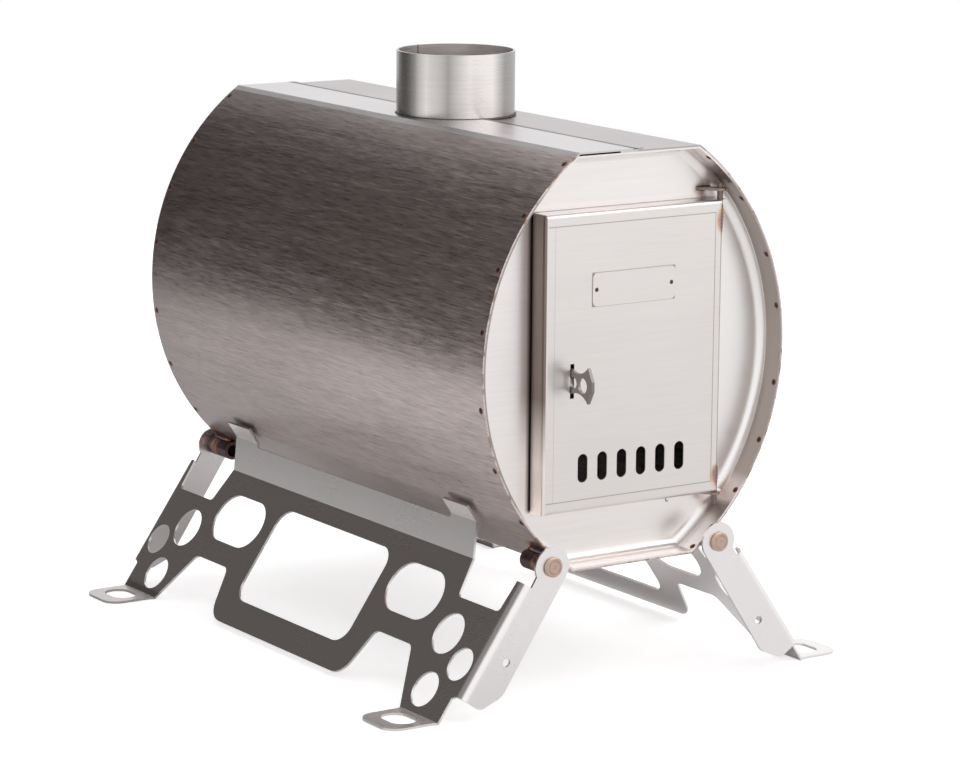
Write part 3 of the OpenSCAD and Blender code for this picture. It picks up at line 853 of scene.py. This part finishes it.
def place_camera(scene):
    """Puts the camera at the photograph's place, which was fitted to its lines."""
    yaw, pitch, roll = (math.radians(angle) for angle in (-33.54, 11.14, 0.45))
    from_barrel = Vector((-1.2653, -1.7403, 0.40705))      # from the front end of the axis
    focal_pixels, image_width, sensor = 3676.4, 960.0, 36.0
    back = Vector((math.sin(yaw) * math.cos(pitch), -math.cos(yaw) * math.cos(pitch),
                   math.sin(pitch)))
    right = (-back).cross(Vector((0, 0, 1))).normalized()
    up = right.cross(-back)
    right, up = (math.cos(roll) * right + math.sin(roll) * up,
                 -math.sin(roll) * right + math.cos(roll) * up)
    lens = bpy.data.cameras.new("photo_camera")
    lens.sensor_width = sensor
    lens.lens = focal_pixels * sensor / image_width
    lens.clip_end = 100.0
    camera = bpy.data.objects.new("photo_camera", lens)
    stand = Matrix((right, up, back)).transposed().to_4x4()
    stand.translation = from_barrel + Vector((0, FRONT_Y, AXIS_Z))
    camera.matrix_world = stand
    scene.collection.objects.link(camera)
    scene.camera = camera


def lay_floor(scene, colour):
    """Lays the pale floor, which glows to the camera and so reads as white."""
    left, right, front, back = -0.60, 2.2, -1.25, 1.6
    to_camera, to_metal = 0.6, 0.02
    bm = bmesh.new()
    bm.faces.new([bm.verts.new((x, y, 0))
                  for x, y in ((left, front), (right, front), (right, back), (left, back))])
    floor = bpy.data.objects.new("floor", mesh_from(bm, "floor"))
    floor.location.z = -0.0002
    scene.collection.objects.link(floor)
    coat = bpy.data.materials.new("studio_floor")
    coat.use_nodes = True
    tree = coat.node_tree
    shader = tree.nodes["Principled BSDF"]
    shader.inputs["Base Color"].default_value = (*colour, 1)
    shader.inputs["Roughness"].default_value = 0.9
    shader.inputs["Specular IOR Level"].default_value = 0.1
    shader.inputs["Emission Color"].default_value = (1, 1, 1, 1)
    path = tree.nodes.new("ShaderNodeLightPath")
    glow = add(tree, product(tree, path.outputs["Is Camera Ray"], to_camera),
               product(tree, path.outputs["Is Glossy Ray"], to_metal))
    tree.links.new(glow, shader.inputs["Emission Strength"])
    floor.data.materials.append(coat)


def hang_sky(scene, light):
    """A sky that is white to the camera, with two darker parts for the metal to show."""
    pale, dark_quarter, dark_strip = (0.97, 0.97, 0.97), (0.085, 0.075, 0.072), (0.22, 0.20, 0.20)
    quarter_way, strip_way = (-0.46, 0.80, 0.32), (-0.86, -0.05, 0.48)
    world = bpy.data.worlds.new("studio_sky")
    scene.world = world
    world.use_nodes = True
    tree = world.node_tree
    place = tree.nodes.new("ShaderNodeTexCoord").outputs["Generated"]

    def toward(direction):
        return vector_node(tree, "DOT_PRODUCT", place, Vector(direction).normalized(),
                           result="Value")

    quarter = tree.nodes.new("ShaderNodeMapRange")
    quarter.interpolation_type = "SMOOTHSTEP"
    quarter.inputs["From Min"].default_value = 0.70
    quarter.inputs["From Max"].default_value = 0.93
    tree.links.new(toward(quarter_way), quarter.inputs["Value"])
    sky = mix_colour(tree, quarter.outputs[0], pale, dark_quarter)
    sky = mix_colour(tree, share_of(tree, less(tree, toward(strip_way), 0.80), 0.10), sky, dark_strip)
    to_camera = tree.nodes.new("ShaderNodeLightPath").outputs["Is Camera Ray"]
    shader = tree.nodes["Background"]
    tree.links.new(mix_colour(tree, to_camera, sky, (1, 1, 1)), shader.inputs["Color"])
    tree.links.new(add(tree, product(tree, to_camera, 1 - light), light), shader.inputs["Strength"])


def hang_lamp(scene, power):
    """Hangs one large lamp above and in front, on the right."""
    lamp = bpy.data.lights.new("key_lamp", "AREA")
    lamp.shape = "RECTANGLE"
    lamp.size, lamp.size_y = 1.6, 1.0
    lamp.energy = power
    holder = bpy.data.objects.new("key_lamp", lamp)
    holder.location = (0.9, -1.3, 1.5)
    aim = Vector((0, 0, 0.2)) - holder.location
    holder.rotation_euler = aim.to_track_quat("-Z", "Y").to_euler()
    scene.collection.objects.link(holder)


class STOVE_OT_studio(bpy.types.Operator):
    """Sets up the camera, the floor, the sky and the lamp"""
    bl_idname = "stove.studio"
    bl_label = "Studio"

    def execute(self, context):
        scene = context.scene
        studio = scene.stove_studio
        place_camera(scene)
        lay_floor(scene, studio.floor)
        hang_sky(scene, studio.world)
        hang_lamp(scene, studio.key)
        scene.view_settings.view_transform = "Standard"
        return {"FINISHED"}


# ---- add-on ----

class STOVE_PT_panel(bpy.types.Panel):
    """Lists the stove's values and steps in the sidebar"""
    bl_idname = "STOVE_PT_panel"
    bl_label = "Tent Wood Stove"
    bl_space_type = "VIEW_3D"
    bl_region_type = "UI"
    bl_category = "Stove"

    def draw(self, context):
        scene = context.scene
        for group in (scene.stove_steel, scene.stove_welds, scene.stove_studio):
            box = self.layout.box()
            for name in group.bl_rna.properties.keys():
                if name not in ("rna_type", "name"):
                    box.prop(group, name)
        for step in STEPS:
            self.layout.operator(step.bl_idname)


STEPS = (STOVE_OT_studio, STOVE_OT_barrel_finish, STOVE_OT_collar_finish, STOVE_OT_end_finish,
         STOVE_OT_door_finish, STOVE_OT_latch_finish, STOVE_OT_pivot_finish, STOVE_OT_leg_finish,
         STOVE_OT_spot_welds, STOVE_OT_flue_weld, STOVE_OT_boss_welds, STOVE_OT_hinge_welds,
         STOVE_OT_web_mark)
CLASSES = (StoveSteel, StoveWelds, StoveStudio, *STEPS, STOVE_PT_panel)


def register():
    for cls in CLASSES:
        bpy.utils.register_class(cls)
    bpy.types.Scene.stove_steel = PointerProperty(type=StoveSteel)
    bpy.types.Scene.stove_welds = PointerProperty(type=StoveWelds)
    bpy.types.Scene.stove_studio = PointerProperty(type=StoveStudio)


def unregister():
    for name in ("stove_steel", "stove_welds", "stove_studio"):
        delattr(bpy.types.Scene, name)
    for cls in reversed(CLASSES):
        bpy.utils.unregister_class(cls)


def main():
    """Registers the add-on and runs its steps in order."""
    register()
    for step in STEPS:
        group, name = step.bl_idname.split(".")
        getattr(getattr(bpy.ops, group), name)()


if __name__ == "__main__":
    main()
